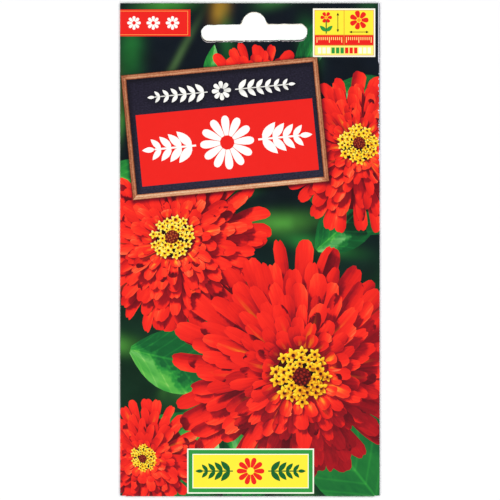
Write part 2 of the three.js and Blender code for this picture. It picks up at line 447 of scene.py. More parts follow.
def foliage(x, y, z, turn, length, width, tone, bend):
    """A leaf with a keeled midrib, arching from its foot and drooping at its tip."""
    along, across = blade_grid(15, 9)
    half = width / 2 * np.sin(pi * np.clip(along, 0.012, 0.99) ** 0.85) ** 0.85
    slope = radians(20) - radians(30) * along
    u = length * along
    v = half * across + bend * along**2
    ripple = 0.05 * np.cos(np.abs(across) * 3 - along * 26) * np.abs(across)
    w = z + length * np.sin(slope) * along * 0.6 + half * (0.42 * np.abs(across) ** 1.2 + ripple)
    c, s = cos(radians(turn)), sin(radians(turn))
    grid = np.stack([x + u * c - v * s, y + u * s + v * c, w, along, across], 2)
    paint_surface(grid, edge_of(grid), "leaf", tone)


def picture():
    """A bed of red blossoms among leaves, dark behind."""
    left, low = -SIDE_LINE - SIDE_BEND - 1, LOWER_LINE - LOWER_BEND - 1
    paint(FRONT, rectangle(left, SIDE_LINE + 1, low, TOP + 1), kind="backdrop")
    # x, y, height, angle, length, width, tone and bend
    for values in (
        (14, 52, -26, 60, 22, 8, -0.2, 2),
        (-13, 50, -24, 74, 12, 4.5, -0.05, 1),
        (45, 46, -22, 170, 22, 11, -0.2, 2),
        (-42, -66, -20, 25, 40, 19, -0.05, -3),
        (0, -82, -20, 100, 34, 18, -0.1, 2),
        (-44, 24, -18, -20, 28, 15, -0.08, -2),
        (-36, -30, -16, -15, 36, 20, 0.0, 3),
        (46, 8, -18, 160, 30, 15, 0.0, 2),
        (46, -56, -14, 165, 30, 18, 0.0, -3),
        (20, 0, -18, 40, 30, 16, -0.05, 3),
        (-26, -80, -12, 60, 34, 19, 0.05, 3),
        (42, -80, -10, 125, 42, 24, 0.08, 4),
        (-6, -84, -14, 70, 26, 12, 0.0, -2),
    ):
        foliage(*values)
    # x, y, radius, angle it leans towards, tilt, rings and petals in the outermost
    for values in (
        (2, 45, 18, 80, 0.3, 5, 24),
        (31, 29, 25, 60, 0.35, 7, 29),
        (-30, -62, 17, 200, 0.4, 6, 24),
        (-21, 1, 28, 130, 0.3, 8, 28),
        (13, -35, 37, -50, 0.22, 8, 32),
    ):
        bloom(*values)


# ---- the labels ----
def rosette(place, radius, petals, ink, centre, shadow=0.0):
    width = 2 * pi * 0.62 * radius / petals * 0.92
    for k in range(petals):
        blade = place.at(turn=2 * pi * k / petals).at(0.26 * radius)
        paint(blade, petal(0.74 * radius, width), ink, shadow=shadow)
    paint(place, disc(0.2 * radius, 14), centre)


def sprig(place, length, pairs, size, ink, shadow=0.0):
    """A stem with leaves in pairs, along +x."""
    paint(place, stroke(0, 0, length, 0, 0.09 * size), ink, shadow=shadow)
    for k in range(pairs):
        x = length * (k + 0.4) / pairs
        grown = size * (1 - 0.45 * k / pairs)
        for side in (-1, 1):
            blade = place.at(x, 0, side * radians(48))
            paint(blade, leaf(grown, 0.42 * grown), ink, shadow=shadow)
    paint(place.at(length), leaf(0.6 * size, 0.26 * size), ink, shadow=shadow)


def ornament(place, flower, gap, branch, shadow=0.0):
    """A rosette between two sprigs."""
    rosette(place, *flower, shadow)
    for side in (0, 1):
        sprig(place.at(turn=side * pi).at(gap), *branch, shadow)


def sign():
    """A tilted board in a wooden frame, with a red panel and a white ornament."""
    half_x, half_y, strip = 29.7, 18.85, 1.5
    place = Place(-7.5, 36.6, radians(5.5))
    paint(place, rectangle(-half_x, half_x, -half_y, half_y), CHARCOAL, shadow=0.85)
    field = rectangle(strip - half_x, half_x - strip, strip - half_y, half_y - strip)
    paint(place, field, CHARCOAL, "board", (half_x, half_y))
    run, offset = half_x, half_y
    for turn, tone in enumerate((0.0, -0.08, 0.2, -0.02)):
        side = place.at(turn=turn * pi / 2).at(0, offset - strip)
        outline = [(-run + strip, 0), (run - strip, 0), (run, strip), (-run, strip)]
        paint(side, outline, WHITE, "wood", (run, strip), tone, 0.7)
        run, offset = offset, run
    panel = place.at(0.25, -4.3)
    box(panel, -26.7, 26.7, -10.8, 10.8, INK_RED)
    ornament(panel, (8.2, 12, WHITE, INK_RED), 9.4, (12.5, 4, 6.4, WHITE))
    heading = place.at(0.0, 11.4)
    ornament(heading, (2.9, 8, WHITE, CHARCOAL), 4.2, (16.0, 6, 3.7, WHITE), 0.5)


def tab():
    """The red tab at the upper left, with a thin yellow line inside its free edges."""
    left, right, low, high = -39.6, -17.9, 64.3, 72.4
    side, edge, width = 0.75, 0.42, 0.15
    box(FRONT, left, right, low, high, INK_RED)
    box(FRONT, left, right - side, low + edge, high - edge, "ff9f4e")
    inner = edge + width
    box(FRONT, left, right - side - width, low + inner, high - inner, INK_RED)
    for x in (-34.9, -29.1, -23.3):
        rosette(Place(x, (low + high) / 2), 2.05, 8, WHITE, INK_RED)


def info_box():
    """Two yellow cells with pictograms, a red bar with ruled marks, and a row of month cells."""
    left, right, low, high = 18.98, 37.75, 58.1, 72.7
    middle = (left + right) / 2
    rim, inset = 0.45, 0.6
    box(FRONT, left, right, low, high, "fbf7e6")
    box(FRONT, left + rim, right - rim, low + rim, high - rim, "d98a2a")
    for x0, x1 in ((left + inset, middle - 0.09), (middle + 0.09, right - inset)):
        box(FRONT, x0, x1, 64.8, high - inset, INK_YELLOW)
        box(FRONT, x0, x1, 61.7, 64.6, INK_RED)
        for k in range(13):
            x = x0 + (x1 - x0) * (k + 1) / 14
            end = 62.4 if k % 6 == 0 else 63.2
            paint(FRONT, stroke(x, end, x, 64.1, 0.22), "ffe98a")
    box(FRONT, left + inset, right - inset, low + inset, 61.5, "f8f07a")
    for k in range(12):
        x = left + 1.5 + 1.36 * k
        ink = INK_GREEN if 3 <= k <= 5 else INK_RED if 6 <= k <= 8 else "fffbe0"
        box(FRONT, x, x + 1.0, low + 1.05, low + 2.85, ink)
    plant_pictogram(Place(left + 4.0, 65.1))
    arrow(Place(left + 7.5, 65.5, pi / 2))
    rosette(Place(right - 4.9, 69.2), 2.9, 7, INK_RED, "f7a21b")
    arrow(Place(right - 7.9, 65.6))


def plant_pictogram(place):
    paint(place, stroke(0, 0, 0, 4.2, 0.35), INK_DARK_GREEN)
    for side in (-1, 1):
        paint(place.at(0, 0.7, pi / 2 - side * 0.85), leaf(2.6, 1.2), INK_GREEN)
    rosette(place.at(0, 4.9), 1.75, 6, INK_RED, "f7a21b")


def arrow(place):
    """A thin double arrow, along +x."""
    length, head, half, ink = 6.0, 0.9, 0.4, "3a2a12"
    paint(place, stroke(0.5, 0, length - 0.5, 0, 0.2), ink)
    for start, base in ((0, head), (length, length - head)):
        paint(place, [(start, 0), (base, half), (base, -half)], ink)


def plaque():
    """A green cartouche at the lower edge with a yellow field and sprigs."""
    half_x, half_y = 19.1, 6.8
    place = Place(0.2, -66.6)
    for inset, ink in ((0, "f4f8e4"), (0.4, INK_GREEN), (1.6, "f4f8e4"), (1.85, INK_YELLOW)):
        box(place, inset - half_x, half_x - inset, inset - half_y, half_y - inset, ink)
    ornament(place, (4.2, 10, INK_RED, INK_YELLOW), 5.3, (8.9, 4, 4.1, INK_DARK_GREEN))


def back_print():
    """A plain back: a green header, three pictograms, a sowing calendar and ruled fields."""
    orange = "f0a318"
    box(BACK, -39.2, 38.6, HEADER_LINE, TOP + 1, INK_GREEN)
    box(BACK, -39.2, 38.6, HEADER_LINE - 1.2, HEADER_LINE, INK_YELLOW)
    for k in range(3):
        cell = BACK.at(-22 + 22 * k, 35)
        paint(cell, disc(8.2, 40), INK_GREEN)
        paint(cell, disc(7.6, 40), "eef6dc")
    sun = BACK.at(-22, 35)
    for k in range(10):
        paint(sun.at(turn=k * pi / 5), stroke(3.6, 0, 5.9, 0, 0.7), orange)
    paint(sun, disc(2.8, 24), orange)
    drop = BACK.at(0, 40.6, -pi / 2)
    paint(drop, petal(10, 6, notch=0), "3f8fc4")
    plant_pictogram(BACK.at(22, 29.6, grow=(1.5, 1.5)))
    # the first and last month and the ink of each row's bar
    bars = ((0, 11, INK_DARK_GREEN), (2, 3, orange), (4, 5, INK_GREEN), (6, 9, INK_RED))
    for row, (first, last, bar) in enumerate(bars):
        for column in range(12):
            x = -30 + 5.04 * column
            y = 14 - 5.2 * row
            ink = bar if first <= column <= last else "e4efd2"
            box(BACK, x, x + 4.6, y, y + 4.6, ink)
    for k in range(3):
        y = -16 - 13 * k
        box(BACK, -30, 30.1, y - 8, y, "dfeccb")
        sprig(BACK.at(-26, y - 4), 5.0, 3, 3.2, INK_GREEN)


def bare_margins():
    """Unprinted paper over what the picture runs past: the back, the seam flap, the lower flap."""
    box(FRONT, -150, -SIDE_LINE - SIDE_BEND - 0.3, -100, TOP + 2, BARE)
    # where the picture ends on the right: furthest in at the top, past the fold at the bottom
    ends = ((SIDE_LINE - 0.34, TOP + 2, 57), (SIDE_LINE - 0.1, 56, 30), (SIDE_LINE + 0.2, 22, -100))
    edge = [(x, y) for x, above, below in ends for y in (above, below)]
    paint(FRONT, edge + [(60, -100), (60, TOP + 2)], BARE)
    upper, middle = ends[0][0], ends[1][0]
    # The margin a little greyer at the top; over the fold's edge, a dark grey band of painted shade
    box(FRONT, upper, SIDE_LINE, 57, TOP + 2, "d3d6e2")
    box(FRONT, middle, SIDE_LINE + SIDE_BEND / 2, 30, TOP + 2, "767680")
    # Flecks of bare paper that break up the painted shade band over the fold
    for k in range(34):
        fleck = Place(middle - 0.05 + jitter(0.08), 45 + jitter(18), jitter(2), (1, 1.6))
        paint(fleck, disc(0.07 + 0.08 * rng.random(), 6), BARE)
    box(FRONT, -60, 60, -100, LOWER_LINE - LOWER_BEND - 0.5, BARE)


def torn_lip(slot):
    """Fibres round the slot, widest below, where the punch has torn and lifted the coating, and a
    dark line of painted shadow of that lifted edge at the cut.
    """
    bar_top = TOP - SLOT_BELOW_TOP + SLOT_HEIGHT
    below = ramp(-2.8, -4.4, slot[:, 1] - bar_top)
    # The dark line at the cut is painted shadow of the lifted edge; the lighter band outside it is
    # torn fibres
    dark = below * (0.14 + 0.24 * rng.random(len(slot)))
    light = dark + 0.03 + below * (0.02 + 0.2 * rng.random(len(slot)))
    along = np.roll(slot, 1, 0) - np.roll(slot, -1, 0)
    outwards = unit(np.stack([-along[:, 1], along[:, 0]], 1))
    for width, ink in ((light, "aea8a8"), (dark, "3c373a")):
        paint(FRONT, slot + outwards * width[:, None], ink)
    for index in rng.choice(np.flatnonzero(below > 0.9), 9, replace=False):
        speck = Place(*(slot[index] + outwards[index] * dark[index]), 0, (1.6, 0.8))
        paint(speck, disc(0.09 + 0.07 * rng.random(), 6), "f4f0ee")
    fibre = Place(SLOT_X - SLOT_DOME, bar_top + 1.0, 0.7, (1, 0.45))
    paint(fibre, disc(0.34, 7), "8d8b88")


# ---- the mesh ----
FRONT_PITCH = 0.52  # between the points that carry shade and relief
PLAIN_PITCH = 3.0
EDGE_PITCH = 2.0  # along the outlines


def grid_points(u0, u1, v0, v1, pitch):
    u, v = np.meshgrid(np.arange(u0, u1, pitch), np.arange(v0, v1, pitch))
    u[::2] += pitch / 2
    return np.stack([u.ravel(), v.ravel()], 1)


def fold_lines():
    """Lines on the sheet where a fold bends it."""
    lines = []
    for k in range(BENDS + 1):
        u = SIDE_LINE + SIDE_BEND * k / BENDS
        lines += [((side * u, LOWER_LINE - 1), (side * u, TOP + 1)) for side in (-1, 1)]
        v = LOWER_LINE - LOWER_BEND * k / BENDS
        lines.append(divided([(-FLAP_BASE - 1, v), (FLAP_BASE + 1, v)], closed=False))
    return lines


def signed_distance(points, outline):
    """From each point to an outline, negative inside it."""
    along = np.roll(outline, -1, 0) - outline
    offset = points[:, None] - outline
    share = np.clip((offset * along).sum(2) / (along**2).sum(1), 0, 1)
    gap = offset - share[..., None] * along
    above = offset[..., 1] < 0
    ends_above = offset[..., 1] < along[:, 1]
    level = np.where(along[:, 1] == 0, 1, along[:, 1])
    crossing = (above != ends_above) & (offset[..., 0] < along[:, 0] * offset[..., 1] / level)
    inside = crossing.sum(1) % 2 == 1
    return np.sqrt((gap**2).sum(2).min(1)) * np.where(inside, -1, 1)


def shade_under(points, owner, shapes):
    """How much light reaches each point, after the soft shadows of the labels drawn over it."""
    blur = 1.5
    shade = np.ones(len(points))
    for index, shape in enumerate(shapes):
        if shape["shadow"]:
            outline = shape["outline"] - 0.8 * np.array(SUN.xy)
            low, high = outline.min(0) - blur, outline.max(0) + blur
            near = (owner < index) & (points > low).all(1) & (points < high).all(1)
            dark = shape["shadow"] * (1 - ramp(-0.4, blur, signed_distance(points[near], outline)))
            shade[near] = np.minimum(shade[near], 1 - dark)
    return shade


def visible(shapes):
    """The shapes without those that others cover wholly."""
    top = triangulate([blank_outline()] + [s["outline"] for s in shapes], [], [])[2]
    return [shapes[index - 1] for index in np.unique(top) if index > 0]


def flower_bed(shapes):
    """Everything in the picture that casts a shadow."""
    points, triangles = [], []
    for shape in shapes:
        if shape["surface"]:
            triangles += (shape["surface"].triangles + len(points)).tolist()
            points += shape["surface"].points[:, :3].tolist()
    return BVHTree.FromPolygons(points, triangles)


def sunlight(bed, place, normal):
    """The light and the shine at a point in the picture: sun past its shadows, and open sky."""
    start = Vector(place) + 0.15 * Vector(normal) + 0.2 * UP

    def open_share(directions, reach):
        clear = sum(bed.ray_cast(start, ray, reach)[0] is None for ray in directions)
        return clear / len(directions)

    sun, sky = open_share(SUN_RAYS, reach=70), open_share(SKY_RAYS, reach=11)
    shine = max(0.0, (SUN + UP).normalized().dot(normal)) ** 24
    return 0.22 + 0.22 * sky + 0.6 * sun * max(0.0, SUN.dot(normal)), sun * shine


def rays(middle, spread, number):
    """Directions in a cone round the middle one."""
    found = []
    across = middle.orthogonal().normalized()
    for k in range(number):
        away = spread * sqrt((k + 0.5) / number)
        turn = Matrix.Rotation(k * GOLDEN_ANGLE, 3, middle)
        found.append((middle + away * (turn @ across)).normalized())
    return found


SUN_RAYS = rays(SUN, 0.05, 4)
SKY_RAYS = rays(UP, 1.6, 8)


def anticlockwise(outline):
    points = np.asarray(outline, float)
    return outline if cross(points, np.roll(points, -1, 0)).sum() > 0 else outline[::-1]


def divided(line, closed=True):
    """The line with more points on its long edges, so that they can bend with the paper."""
    line = np.asarray(line, float)
    ends = np.roll(line, -1, 0) if closed else line[1:]
    points = []
    for a, b in zip(line, ends):
        steps = max(1, ceil(np.linalg.norm(b - a) / EDGE_PITCH))
        points += [a + (b - a) * k / steps for k in range(steps)]
    return points if closed else points + [line[-1]]


def cut(points, edges, faces, gap):
    """Blender's triangulation, its points and triangles as arrays."""
    found = delaunay_2d_cdt([Vector(p) for p in points], edges, faces, 0, gap)
    return np.array([tuple(p) for p in found[0]]), np.array(found[2]), *found[3:]


def triangulate(outlines, lines, loose):
    """Cuts the plane along the outlines and lines. Returns points, triangles, and for each
    triangle the last outline that holds it, or -1 outside the first."""
    points, edges, faces = [], [], []
    for outline in outlines:
        outline = divided(anticlockwise(outline))
        faces.append(list(range(len(points), len(points) + len(outline))))
        points += outline
    for line in lines:
        edges += [(k, k + 1) for k in range(len(points), len(points) + len(line) - 1)]
        points += line
    points, triangles, _, _, owners = cut([*points, *loose], edges, faces, 1e-4)
    return points, triangles, np.array([max(held) if 0 in held else -1 for held in owners])


def relief(x, y):
    """The front sinks a little between the seeds that hold it up."""
    held = np.zeros_like(x)
    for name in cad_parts:
        if name.startswith("seed_"):
            low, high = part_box(name)
            middle = (low + high) / 2 / MM
            gap = ((x - middle.x) / 2.4) ** 2 + ((y - middle.y) / 4.4) ** 2
            held = np.maximum(held, np.exp(-gap))
    ripple = 0.5 + 0.5 * np.sin(0.23 * x + 0.11 * y) * np.sin(0.17 * y - 0.09 * x + 1)
    return -0.16 * (1 - held) - 0.1 * ripple


def front_out(x, y):
    across = np.clip(1 - (x / (SIDE_LINE - 2)) ** 2, 0, None) ** 2
    along = ramp(-TOP + 2, -35, y) * (1 - ramp(0, HEADER_LINE, y))
    return FRONT_OUT + (FRONT_RISE + relief(x, y)) * across * along


def back_out(x, y):
    left, right, low, high = SPOT
    across = (1 - ramp(right, 28, x)) * ramp(-36, left, x)
    along = ramp(-60, low, y) * (1 - ramp(high, HEADER_LINE - 2, y))
    return back_edge(x) - BACK_OUT * across * along


def folded(sheet, depth):
    """Points of the sheet, on its printed side at depth 0, where the folded packet has them."""
    u, v = sheet.T
    side = np.sign(u)
    past = np.abs(u) - SIDE_LINE
    turn = pi * np.clip(past / SIDE_BEND, 0, 1)
    behind = past > SIDE_BEND
    radius = SIDE_FOLD - depth
    x = np.where(past > 0, side * (SIDE_LINE + radius * np.sin(turn)), u)
    x = np.where(behind, side * (SIDE_LINE - past + SIDE_BEND), x)
    round_fold = (FRONT_OUT + BACK_OUT) / 2 + radius * np.cos(turn)
    z = np.where(past > 0, round_fold, front_out(x, v) - depth)
    z = np.where(behind & (side < 0), back_out(x, v) + depth, z)
    z = np.where(behind & (side > 0), BACK_OUT + depth, z)
    drop = LOWER_LINE - v
    turn = pi * np.clip(drop / LOWER_BEND, 0, 1)
    outer = (FRONT_OUT - flap_out(u)) / 2
    middle = (FRONT_OUT + flap_out(u)) / 2
    lower = drop > 0
    flap = drop > LOWER_BEND
    y = np.where(lower, LOWER_LINE - (outer - depth) * np.sin(turn), v)
    y = np.where(flap, LOWER_LINE + drop - LOWER_BEND, y)
    z = np.where(lower, middle + (outer - depth) * np.cos(turn), z)
    return np.stack([x, y, z], 1)


def facing(sheet):
    """Which way the printed side faces at points of the sheet."""
    step = 0.05
    along_u = folded(sheet + (step, 0), 0) - folded(sheet - (step, 0), 0)
    along_v = folded(sheet + (0, step), 0) - folded(sheet - (0, step), 0)
    return unit(np.cross(along_u, along_v))


def edge_list(triangles):
    """Each triangle's three directed edges."""
    return np.concatenate([triangles[:, [0, 1]], triangles[:, [1, 2]], triangles[:, [2, 0]]])


def rim_of(triangles):
    """The directed edges that only one triangle has."""
    edges = edge_list(triangles)
    _, back, count = np.unique(np.sort(edges, 1), axis=0, return_inverse=True, return_counts=True)
    return edges[count[back.ravel()] == 1]


def line_edges(points, triangles):
    """The edges that lie along one fold line."""
    u, v = points.T
    gaps = []
    for k in range(BENDS + 1):
        gaps += [u - side * (SIDE_LINE + SIDE_BEND * k / BENDS) for side in (-1, 1)]
        gaps.append(v - LOWER_LINE + LOWER_BEND * k / BENDS)
    edges = edge_list(triangles)
    return edges[(np.abs(gaps)[:, edges] < 2e-3).all(2).any(0)]


def on_paper(points, holes, margin):
    """Whether each point lies on the sheet, more than the margin from its edges."""
    inside = signed_distance(points, np.array(blank_outline())) < -margin
    for hole in holes:
        inside &= signed_distance(points, hole) > margin
    return inside


def inner_skin(points, triangles, holes):
    """A coarser triangulation of the sheet's white side, on the same rim and fold lines. Returns
    its points, its triangles, and its point for each of the given points, or -1."""
    fixed = np.concatenate([rim_of(triangles), line_edges(points, triangles)])
    fixed = np.unique(np.sort(fixed, 1), axis=0)
    used = np.unique(fixed)
    loose = grid_points(points[:, 0].min(), points[:, 0].max(), -TOP - 20, TOP, PLAIN_PITCH)
    off_folds = np.abs(np.abs(loose[:, 0]) - SIDE_LINE) > 0.6
    off_folds &= np.abs(loose[:, 1] - LOWER_LINE + LOWER_BEND / 2) > 0.8
    loose = loose[off_folds & on_paper(loose, holes, 0.5)]
    start = np.concatenate([points[used], loose])
    skin, faces, sources, _, _ = cut(start, np.searchsorted(used, fixed).tolist(), [], 1e-6)
    match = np.full(len(points), -1)
    for new, olds in enumerate(sources):
        for old in olds:
            if old < len(used):
                match[used[old]] = new
    return skin, faces[on_paper(skin[faces].mean(1), holes, 0)], match


def blurred_foliage(points):
    """Colours of the unfocused leaves behind the blossoms: near black above, greener below."""
    draw = np.random.default_rng(5)
    dark, deep = np.array(linear("08111b")), np.array(linear("0d2c1b"))
    colours = dark + (deep - dark) * (1 - ramp(-40, 30, points[:, 1]))[:, None]
    blots = []
    for k in range(48):
        turn, length, width = draw.uniform(0, 180), draw.uniform(4, 15), draw.uniform(1.6, 4.5)
        ink = ("1d6b2c", "2a8537", "4f9a3a", "081a1c", "0b2418")[k % 5]
        blots.append((draw.uniform(-42, 42), draw.uniform(-78, 40), turn, length, width, ink))
    blots += [
        (-36, 60, 84, 9, 3.4, "1f7030"),
        (-22, 57, 62, 13, 1.1, "46653a"),
        (-25, 74, 5, 7, 2.6, "3f8f34"),
        (-9, 73, 80, 5, 2.4, "b98a2a"),
        (-7, 63, 96, 8, 2.0, "1b5a28"),
        (9, 76, 20, 6, 2.2, "3f8540"),
        (18, 62, 100, 6, 2.6, "237a33"),
        (36, 74, 60, 6, 3.0, "164422"),
        (-40, 44, 90, 8, 1.6, "667f38"),
    ]
    for x, y, turn, length, width, ink in blots:
        offset = (points - (x, y)) @ Place(turn=radians(turn)).axes
        weight = 0.8 * np.exp(-((offset[:, 0] / length) ** 2) - (offset[:, 1] / width) ** 2)
        colours += (linear(ink) - colours) * weight[:, None]
    return colours


def shape_values(points, owner, shapes, bed):
    """For each point and the shape that holds it: coordinates in the shape, light, form and ink."""

    def held_in(key):
        return np.array([shape[key] for shape in shapes])[owner]

    inside = np.einsum("nij,nj->ni", held_in("inverse"), points - held_in("origin"))
    ink = held_in("ink")
    behind = held_in("kind") == "backdrop"
    ink[behind] = blurred_foliage(points[behind])
    light = np.tile([1.0, 0.0], (len(points), 1))
    order = np.argsort(owner, kind="stable")
    for held in np.split(order, np.flatnonzero(np.diff(owner[order])) + 1):
        surface = shapes[owner[held[0]]]["surface"]
        if surface:
            found, normals = surface.at(points[held])
            inside[held] = found[:, 3:]
            ends = zip(found[:, :3].tolist(), normals.tolist())
            light[held] = [sunlight(bed, place, normal) for place, normal in ends]
    light *= shade_under(points, owner, shapes)[:, None]
    rest = np.zeros(len(points))
    return {
        "blade": np.column_stack([inside, rest]),
        "light": np.column_stack([light, rest]),
        "form": held_in("form"),
        "ink": ink,
    }


def set_attribute(mesh, name, domain, values):
    attribute = mesh.attributes.new(name, "FLOAT_VECTOR", domain)
    attribute.data.foreach_set("vector", values.astype(np.float32).ravel())


def packet_mesh():
    """Folds the printed sheet into one closed mesh."""
    slot = slot_outline()
    torn_lip(slot)
    holes = [slot, slot * (-1, 1) + (BACK_MIDDLE, 0)]
    shapes = visible(drawn)
    bed = flower_bed(drawn)
    outlines = [blank_outline()] + [s["outline"] for s in shapes] + holes
    front = grid_points(-SIDE_LINE, SIDE_LINE, LOWER_LINE, TOP, FRONT_PITCH)
    back = grid_points(BACK_MIDDLE - BACK_EDGE, -SIDE_LINE - 1, LOWER_LINE, TOP, PLAIN_PITCH)
    points, triangles, top = triangulate(outlines, fold_lines(), np.concatenate([front, back]))
    printed = (top > 0) & (top <= len(shapes))
    owner = top[printed] - 1
    used, triangles = np.unique(triangles[printed], return_inverse=True)
    points, triangles = points[used], triangles.reshape(-1, 3)

    skin, inner, match = inner_skin(points, triangles, holes)
    rim = rim_of(triangles)
    walls = np.column_stack([rim[:, ::-1], match[rim] + len(points)])
    inner = inner[:, ::-1]
    vertices = np.concatenate([folded(points, 0), folded(skin, PAPER)]) * MM
    faces = triangles.tolist() + (inner + len(points)).tolist() + walls.tolist()
    mesh = bpy.data.meshes.new("packet")
    mesh.from_pydata(vertices.tolist(), [], faces)

    corners = triangles.ravel()
    held = corners * len(shapes) + np.repeat(owner, 3)
    pairs, back_to = np.unique(held, return_inverse=True)
    values = shape_values(points[pairs // len(shapes)], pairs % len(shapes), shapes, bed)
    rest = len(mesh.loops) - len(corners)
    for name, value in values.items():
        filler = np.tile(linear(BARE) if name == "ink" else np.zeros(3), (rest, 1))
        set_attribute(mesh, name, "CORNER", np.concatenate([value[back_to], filler]))
    flat = np.column_stack([np.concatenate([points, skin]), np.zeros(len(vertices))])
    set_attribute(mesh, "sheet", "POINT", flat)
    slots = np.full(len(mesh.polygons), KINDS.index("bare"))
    slots[: len(owner)] = np.array([KINDS.index(s["kind"]) for s in shapes])[owner]
    mesh.polygons.foreach_set("material_index", slots)
    bake_map(mesh, flat, len(corners))
    mesh.shade_smooth()
    mesh.set_sharp_from_angle(angle=radians(50))
    normals = np.zeros((len(mesh.loops), 3))  # zero leaves the walls' own
    normals[: len(corners)] = facing(points)[corners]
    normals[len(corners) :][: inner.size] = -facing(skin)[inner.ravel()]
    mesh.normals_split_custom_set(normals.tolist())
    return mesh


def bake_map(mesh, flat, printed_corners):
    """A map that is the flat sheet itself, with the white side small below the back."""
    low = flat.min(0)[:2]
    span = (flat.max(0)[:2] - low).max() * 1.02
    corner = np.array([loop.vertex_index for loop in mesh.loops])
    places = (flat[corner, :2] - low) / span + 0.008
    places[printed_corners:] = places[printed_corners:] * 0.07 + 0.005
    layer = mesh.uv_layers.new(name="OFBake")
    layer.data.foreach_set("uv", places.astype(np.float32).ravel())


# ---- materials ----
def formula(operation, swapped=False):
    """A method of Value that adds one math node."""

    def method(self, other=0):
        a, b = (other, self) if swapped else (self, other)
        return self.graph.value("Math", {0: a, 1: b}, operation=operation)

    return method


class Value:
    """A number in a material's nodes, so that a formula reads as one."""

    def __init__(self, graph, socket):
        self.graph = graph
        self.socket = socket

    __add__ = __radd__ = formula("ADD")
    __mul__ = __rmul__ = formula("MULTIPLY")
    __sub__ = formula("SUBTRACT")
    __rsub__ = formula("SUBTRACT", swapped=True)
    __pow__ = formula("POWER")
    size = formula("ABSOLUTE")
    sine = formula("SINE")

    def rise(self, low, high):
        """0 below low, 1 above high, and smooth between."""
        inputs = {"Value": self, "From Min": low, "From Max": high}
        return self.graph.value("MapRange", inputs, interpolation_type="SMOOTHSTEP")


class Graph:
    """The nodes of one material."""

    def __init__(self, name):
        self.material = bpy.data.materials.new(name)
        self.material.use_nodes = True
        self.tree = self.material.node_tree
        self.shader = self.tree.nodes["Principled BSDF"]

    def put(self, node, inputs):
        """Sets a node's inputs, given by name or number, to numbers, colours or links."""
        for key, value in inputs.items():
            socket = node.inputs[key]
            if isinstance(value, Value):
                value = value.socket
            if isinstance(value, bpy.types.NodeSocket):
                self.tree.links.new(value, socket)
            else:
                socket.default_value = value

    def node(self, kind, inputs, **settings):
        """A new node. Returns its outputs."""
        node = self.tree.nodes.new("ShaderNode" + kind)
        for name, value in settings.items():
            setattr(node, name, value)
        self.put(node, inputs)
        return node.outputs

    def value(self, kind, inputs, **settings):
        return Value(self, self.node(kind, inputs, **settings)[0])

    def read(self, name):
        """The three numbers of a mesh attribute."""
        vector = self.node("Attribute", {}, attribute_name=name)["Vector"]
        return [Value(self, socket) for socket in self.node("SeparateXYZ", {0: vector})]

    def join(self, x, y, z=0.0):
        return self.node("CombineXYZ", {0: x, 1: y, 2: z})[0]

    def noise(self, place, scale=1.0, detail=2.0):
        return self.value("TexNoise", {"Vector": place, "Scale": scale, "Detail": detail})

    def colours(self, value, stops):
        """A colour for a number from 0 to 1, through stops with their places."""
        node = self.tree.nodes.new("ShaderNodeValToRGB")
        elements = node.color_ramp.elements
        while len(elements) < len(stops):
            elements.new(0.5)
        for element, (position, code) in zip(elements, stops):
            element.position = position
            element.color = (*linear(code), 1)
        self.put(node, {0: value})
        return node.outputs[0]

    def mix(self, share, a, b, blend="MIX"):
        inputs = {0: share, 6: a, 7: b}
        return self.node("Mix", inputs, data_type="RGBA", blend_type=blend)[2]

    def times(self, colour, value):
        """The colour, darkened or lightened by a number."""
        return self.mix(1.0, colour, self.join(value, value, value), "MULTIPLY")


class Print(Graph):
    """The nodes of one printed material, with the numbers that the mesh's corners hold."""

    def __init__(self, name):
        super().__init__(name)
        self.s, self.t, _ = self.read("blade")
        self.light, self.shine, _ = self.read("light")
        self.seed, self.tone, self.flame = self.read("form")
        self.u, self.v, _ = self.read("sheet")
        self.ink = self.node("Attribute", {}, attribute_name="ink")["Color"]

    def grain(self, along, across, seed, scale=1.0, detail=2.0):
        """Noise in a shape's own coordinates, other in each shape."""
        place = self.join(self.s * along, self.t * across, self.seed * seed)
        return self.noise(place, scale, detail)

    def coat(self, colour, roughness, grain):
        """Ends the material as ink on coated paper: a low gloss over a fine, even tooth."""
        place = self.join(self.u, self.v)
        tooth = self.noise(place, 9.0, 3.0)
        cloud = self.noise(place, 0.25)
        bump = self.node("Bump", {"Strength": grain, "Distance": 0.0002, "Height": tooth})[0]
        rough = roughness - 0.06 + 0.08 * tooth + 0.05 * cloud
        inputs = {"Base Color": colour, "Roughness": rough, "IOR": 1.46, "Normal": bump}
        self.put(self.shader, inputs)


def petal_colour(g):
    streak = g.grain(2.2, 4.0, 90, detail=3.0)
    fine = g.grain(3.0, 13.0, 60)
    texture = 0.88 + 0.34 * (streak - 0.5) + 0.22 * (fine - 0.5)
    bright = g.light * texture + g.tone + 0.06 * g.shine
    shades = ((0.0, "26040a"), (0.2, "620b16"), (0.38, "a3121c"), (0.56, "dc1f1b"))
    lights = ((0.78, "f42a1f"), (0.92, "fc4427"), (1.0, "ff6c42"))
    red = g.colours(bright, shades + lights)
    orange = g.colours(bright, ((0.0, "7a1f0a"), (0.5, "e86a14"), (0.9, "ffb02e")))
    centre = 1 - g.t.size().rise(0.05, 0.75)
    foot = 1 - g.s.rise(0.25, 0.95)
    share = (g.flame * centre * (0.35 + 0.65 * foot) * (0.5 + streak)).rise(0.12, 0.7)
    return g.mix(share, red, orange)


